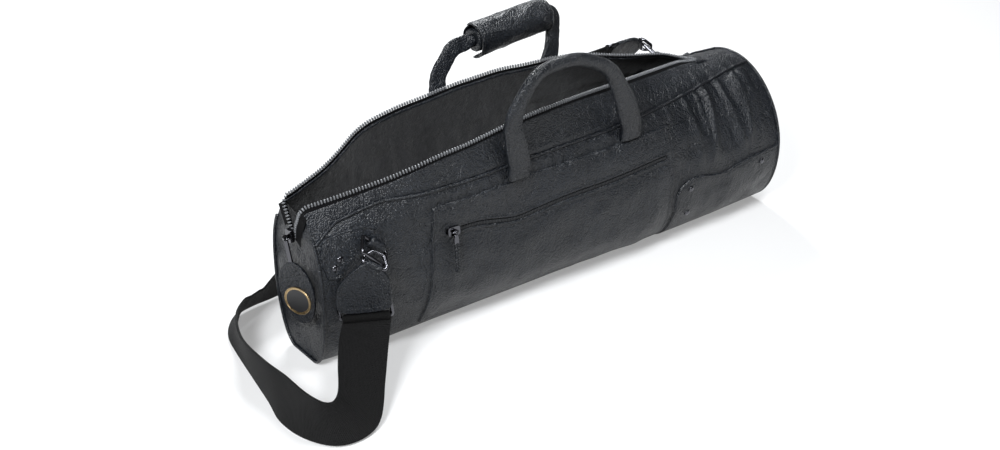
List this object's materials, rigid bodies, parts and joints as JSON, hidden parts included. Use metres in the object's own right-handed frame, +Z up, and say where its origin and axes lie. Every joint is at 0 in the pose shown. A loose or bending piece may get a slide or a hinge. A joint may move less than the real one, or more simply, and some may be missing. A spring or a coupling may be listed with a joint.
{
  "type": "trumpet case",
  "caption": "Soft black leather gig bag for a trumpet: padded zip-top body with plush lining, zipped side pocket, a pair of carrying handles with a wrapped grip, and a webbing shoulder strap.",
  "frame": {"origin": "on the floor under the middle of the base", "axes": "+X along the bag towards the bell end, +Z up, -Y towards the pocket side"},
  "size_m": [0.6315, 0.2652, 0.2639],
  "materials": {
    "leather": "black pebble grain, soft sheen",
    "foam": "closed-cell foam, hidden",
    "plush": "black brushed plush",
    "webbing": "black woven webbing",
    "zip_tape": "black woven tape",
    "zip_teeth": "black moulded coil",
    "nickel": "dark polished nickel",
    "gilt": "satin gilt"
  },
  "bodies": {
    "bag": {"bell_end_piping": "leather", "chape_back": "leather", "chape_front": "leather", "corner_patch_back": "leather", "corner_patch_front": "leather", "corner_patch_rivets": "nickel", "mouth_end_piping": "leather", "pocket_lower": "leather", "ring_back": "nickel", "ring_front": "nickel", "ring_loop_back": "leather", "ring_loop_front": "leather", "ring_patch_back": "leather", "ring_patch_front": "leather", "ring_patch_rivets": "nickel", "seam_piping_ends": "leather", "shell_leather": "leather", "shell_lining": "plush", "shell_padding": "foam", "strap_loop_back": "nickel", "strap_loop_front": "nickel", "strap_ring_back": "nickel", "strap_ring_front": "nickel", "strap_webbing": "webbing", "zip_end_stop": "leather", "zip_tape_ends": "zip_tape", "zip_teeth_ends": "zip_teeth"},
    "front_side": {"front_side_leather": "leather", "front_side_lining": "plush", "front_side_padding": "foam", "front_zip_teeth": "zip_teeth", "front_zip_tape": "zip_tape", "front_seam_piping": "leather", "pocket_upper": "leather", "pocket_zip_tape": "zip_tape", "pocket_zip_teeth": "zip_teeth"},
    "back_side": {"back_side_leather": "leather", "back_side_lining": "plush", "back_side_padding": "foam", "back_zip_teeth": "zip_teeth", "back_zip_tape": "zip_tape", "back_seam_piping": "leather"},
    "main_slider": {"main_slider": "nickel"},
    "tag_pull": {"main_pull": "nickel", "tag": "leather", "tag_medallion": "gilt"},
    "pocket_slider": {"pocket_slider": "nickel"},
    "pocket_pull": {"pocket_pull": "leather"},
    "front_handle": {"front_handle": "leather"},
    "back_handle": {"back_handle": "leather", "grip_wrap": "leather"},
    "grip_flap": {"grip_flap": "leather"}
  },
  "joints": [
    {"name": "front_side_fold", "type": "hinge", "parent": "bag", "child": "front_side", "pos_m": [-0.15, -0.03324, 0.025], "axis": [-0.9642, 0.1008, -0.2454], "range_deg": [0, 12]},
    {"name": "back_side_fold", "type": "hinge", "parent": "bag", "child": "back_side", "pos_m": [-0.15, 0.03324, 0.025], "axis": [0.9642, 0.1008, 0.2454], "range_deg": [0, 12]},
    {"name": "main_slider_slide", "type": "slide", "parent": "bag", "child": "main_slider", "axis": [0, 0, 1], "range_m": [0, 0.03]},
    {"name": "tag_swing", "type": "hinge", "parent": "main_slider", "child": "tag_pull", "pos_m": [-0.28815, 0, 0.1295], "axis": [0, 1, 0], "range_deg": [0, 95]},
    {"name": "pocket_slider_slide", "type": "slide", "parent": "front_side", "child": "pocket_slider", "axis": [0.9977, -0.0638, -0.0233], "range_m": [0, 0.2]},
    {"name": "pocket_pull_swing", "type": "hinge", "parent": "pocket_slider", "child": "pocket_pull", "pos_m": [-0.14658, -0.06501, 0.1135], "axis": [-0.9977, 0.0638, 0.0233], "range_deg": [0, 150]},
    {"name": "front_handle_swing", "type": "hinge", "parent": "front_side", "child": "front_handle", "pos_m": [0, -0.06326, 0.147], "axis": [0.9998, -0.021, 0], "range_deg": [0, 125]},
    {"name": "back_handle_swing", "type": "hinge", "parent": "back_side", "child": "back_handle", "pos_m": [0, 0.06326, 0.147], "axis": [-0.9998, -0.021, 0], "range_deg": [0, 50]},
    {"name": "grip_flap_open", "type": "hinge", "parent": "back_handle", "child": "grip_flap", "pos_m": [0.0388, 0.10334, 0.21477], "axis": [-0.9981, -0.0385, -0.0483], "range_deg": [0, 100]}
  ],
  "couplings": [
    {"joint": "back_side_fold", "follows": "front_side_fold", "ratio": 1}
  ]
}
